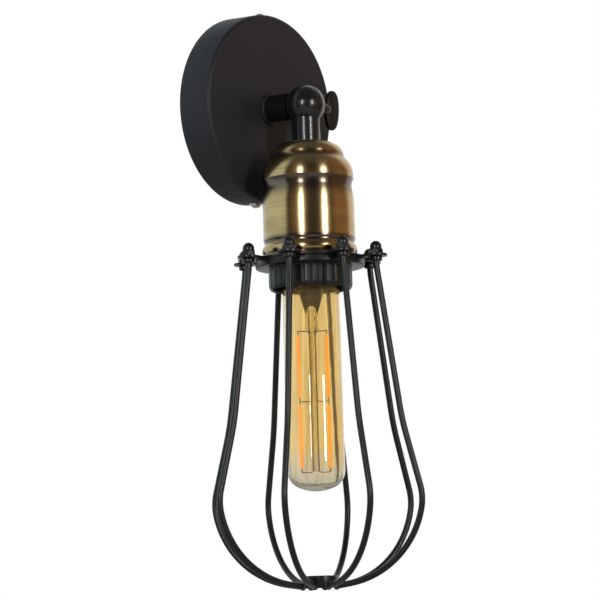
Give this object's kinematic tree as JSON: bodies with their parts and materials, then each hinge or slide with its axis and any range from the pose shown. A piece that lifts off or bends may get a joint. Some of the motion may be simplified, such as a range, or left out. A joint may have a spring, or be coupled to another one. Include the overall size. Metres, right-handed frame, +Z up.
{
  "type": "cage wall light",
  "caption": "Wall light with a tilting split-ball arm, a brass lampholder, a black wire cage and a clear tubular bulb.",
  "frame": {"origin": "centre of the wall plate's back rim, on the wall", "axes": "+Z up, +Y into the wall, +X to the right as seen from the room"},
  "size_m": [0.1058, 0.1091, 0.3044],
  "materials": {
    "matte_black": "matt powder coat",
    "gloss_black": "gloss enamel",
    "satin_black": "satin enamel",
    "zinc": "zinc plated",
    "nickel": "nickel plated",
    "white_nylon": "moulded",
    "brown_lead": "insulation",
    "blue_lead": "insulation",
    "striped_lead": "green and yellow insulation",
    "aged_brass": "aged, turned and brushed",
    "brass_plain": "plain",
    "black_moulding": "moulded",
    "phenolic": "moulded, semi gloss",
    "amber_glass": "clear, amber tint",
    "stem_glass": "clear",
    "filament": "phosphor coated"
  },
  "bodies": {
    "wall_part": {"wall_plate": "matte_black", "mounting_bracket": "zinc", "side_screws": "nickel", "terminal_block": "white_nylon", "terminal_screws": "zinc", "fixing_screw": "zinc", "earth_screw": "brass_plain", "earth_washer": "brass_plain", "earth_tag": "zinc", "live_lead": "brown_lead", "neutral_lead": "blue_lead", "earth_lead": "striped_lead", "arm_washer": "matte_black", "arm_nipple": "zinc", "arm_lock_washer": "zinc", "arm_nut": "zinc", "arm_knuckle": "gloss_black", "friction_washer": "zinc"},
    "spring_washer": {"spring_washer": "zinc"},
    "thumb_screw": {"thumb_screw": "satin_black"},
    "lamp": {"lamp_knuckle": "gloss_black", "holder_nipple": "zinc", "holder_nut": "zinc", "brass_cap": "aged_brass", "brass_barrel": "aged_brass", "holder_core": "black_moulding", "holder_terminals": "brass_plain", "holder_terminal_screws": "brass_plain", "screw_shell": "brass_plain", "centre_contact": "brass_plain", "shade_ring": "phenolic", "cage_plate": "satin_black", "acorn_nuts": "satin_black", "lock_nuts": "satin_black", "bottom_ring": "satin_black", "cage_rib_1": "satin_black", "cage_rib_2": "satin_black", "cage_rib_3": "satin_black", "cage_rib_4": "satin_black", "cage_rib_5": "satin_black", "cage_rib_6": "satin_black", "cage_rib_7": "satin_black", "cage_rib_8": "satin_black"},
    "bulb_tip": {"bulb_contact": "zinc"},
    "bulb": {"bulb_glass": "amber_glass", "bulb_base": "brass_plain", "bulb_insulator": "phenolic", "bulb_stem": "stem_glass", "filament_sticks": "filament", "support_wires": "zinc"}
  },
  "joints": [
    {"name": "swivel_tilt", "type": "hinge", "parent": "wall_part", "child": "lamp", "pos_m": [0, -0.0433, 0], "axis": [-1, 0, 0], "range_deg": [-0.8, 171]},
    {"name": "thumb_advance", "type": "slide", "parent": "wall_part", "child": "spring_washer", "axis": [1, 0, 0], "range_m": [0, 0.0008]},
    {"name": "thumb_turn", "type": "hinge", "parent": "spring_washer", "child": "thumb_screw", "pos_m": [0, -0.0433, 0], "axis": [1, 0, 0], "range_deg": [0, 360]},
    {"name": "bulb_advance", "type": "slide", "parent": "lamp", "child": "bulb_tip", "axis": [0, -0.0628, -0.998], "range_m": [0, 0.01816]},
    {"name": "bulb_turn", "type": "hinge", "parent": "bulb_tip", "child": "bulb", "pos_m": [0, -0.0433, 0], "axis": [0, -0.0628, -0.998], "range_deg": [0, 1800]}
  ],
  "couplings": [
    {"joint": "thumb_advance", "follows": "thumb_turn", "m_per_rad": 0.00012732},
    {"joint": "bulb_advance", "follows": "bulb_turn", "m_per_rad": 0.00057757}
  ]
}
